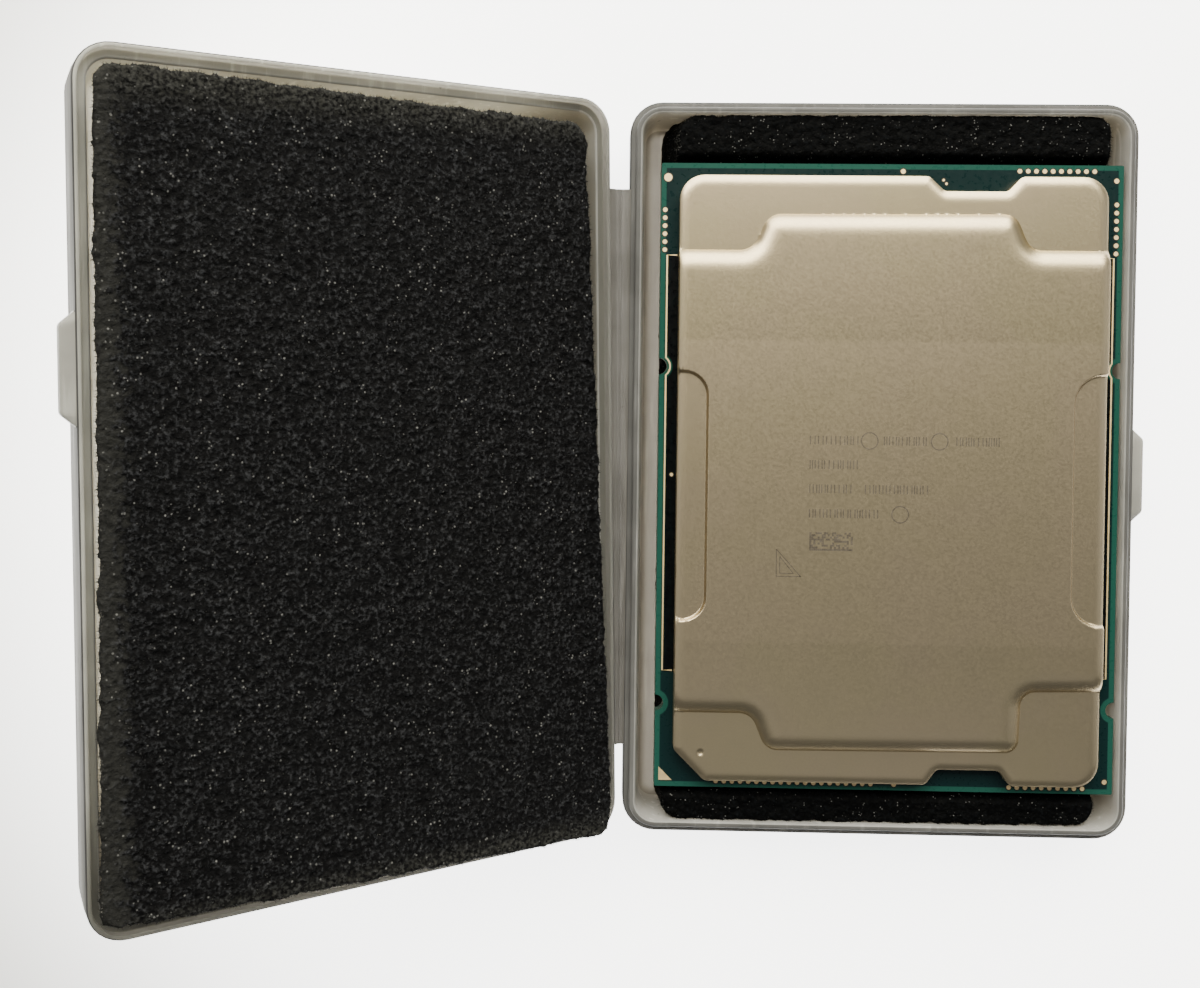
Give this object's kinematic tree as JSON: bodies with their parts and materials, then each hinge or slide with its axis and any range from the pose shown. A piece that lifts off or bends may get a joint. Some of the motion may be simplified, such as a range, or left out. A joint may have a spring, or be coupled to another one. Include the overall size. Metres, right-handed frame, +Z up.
{
  "type": "server processor in storage case",
  "caption": "Land-grid server processor with a stepped metal heat spreader, lying on foam in a frosted plastic clamshell case whose hinged lid stands open.",
  "frame": {"origin": "middle of the tray's flat bottom face", "axes": "+Z up out of the tray, +X from the hinge towards the tray's thumb tab, +Y along the hinge, towards the end of the board away from its pin-one corner"},
  "size_m": [0.1241, 0.0922, 0.0411],
  "materials": {
    "case_plastic": "satin",
    "adhesive_film": "satin",
    "foam": "matte",
    "board_laminate": "satin",
    "nickel_plate": "satin",
    "silicon": "polished",
    "solder": "satin",
    "indium_solder": "satin",
    "underfill": "satin",
    "sealant": "matte",
    "gold_lands": "satin",
    "capacitor_ceramic": "matte"
  },
  "bodies": {
    "tray": {"tray_shell": "case_plastic", "tray_foam_adhesive": "adhesive_film", "tray_foam_pad": "foam", "living_hinge": "case_plastic"},
    "lid": {"lid_shell": "case_plastic", "lid_foam_adhesive": "adhesive_film", "lid_foam_pad": "foam"},
    "processor": {"substrate": "board_laminate", "heat_spreader": "nickel_plate", "silicon_die": "silicon", "solder_bump_field": "solder", "underfill_fillet": "underfill", "solder_thermal_interface": "indium_solder", "spreader_sealant_bead": "sealant", "land_field_left": "gold_lands", "land_field_right": "gold_lands", "die_side_capacitor_01": "capacitor_ceramic", "die_side_capacitor_02": "capacitor_ceramic", "die_side_capacitor_03": "capacitor_ceramic", "die_side_capacitor_04": "capacitor_ceramic", "die_side_capacitor_05": "capacitor_ceramic", "die_side_capacitor_06": "capacitor_ceramic", "die_side_capacitor_07": "capacitor_ceramic", "die_side_capacitor_08": "capacitor_ceramic", "die_side_capacitor_09": "capacitor_ceramic", "die_side_capacitor_10": "capacitor_ceramic", "die_side_capacitor_11": "capacitor_ceramic", "die_side_capacitor_12": "capacitor_ceramic", "land_side_capacitor_01": "capacitor_ceramic", "land_side_capacitor_02": "capacitor_ceramic", "land_side_capacitor_03": "capacitor_ceramic", "land_side_capacitor_04": "capacitor_ceramic", "land_side_capacitor_05": "capacitor_ceramic", "land_side_capacitor_06": "capacitor_ceramic", "land_side_capacitor_07": "capacitor_ceramic", "land_side_capacitor_08": "capacitor_ceramic", "land_side_capacitor_09": "capacitor_ceramic", "land_side_capacitor_10": "capacitor_ceramic", "land_side_capacitor_11": "capacitor_ceramic", "land_side_capacitor_12": "capacitor_ceramic", "land_side_capacitor_13": "capacitor_ceramic", "land_side_capacitor_14": "capacitor_ceramic", "land_side_capacitor_15": "capacitor_ceramic", "land_side_capacitor_16": "capacitor_ceramic"}
  },
  "joints": [
    {"name": "lid_hinge", "type": "hinge", "parent": "tray", "child": "lid", "pos_m": [-0.0321, 0, 0.0085], "axis": [-0.0108, 0.9999, 0], "range_deg": [-30.5, 149.5], "deforming": ["living_hinge", "lid_foam_pad"]},
    {"name": "processor_lift", "type": "slide", "parent": "tray", "child": "processor", "axis": [0, 0, 1], "range_m": [0, 0.03]}
  ]
}
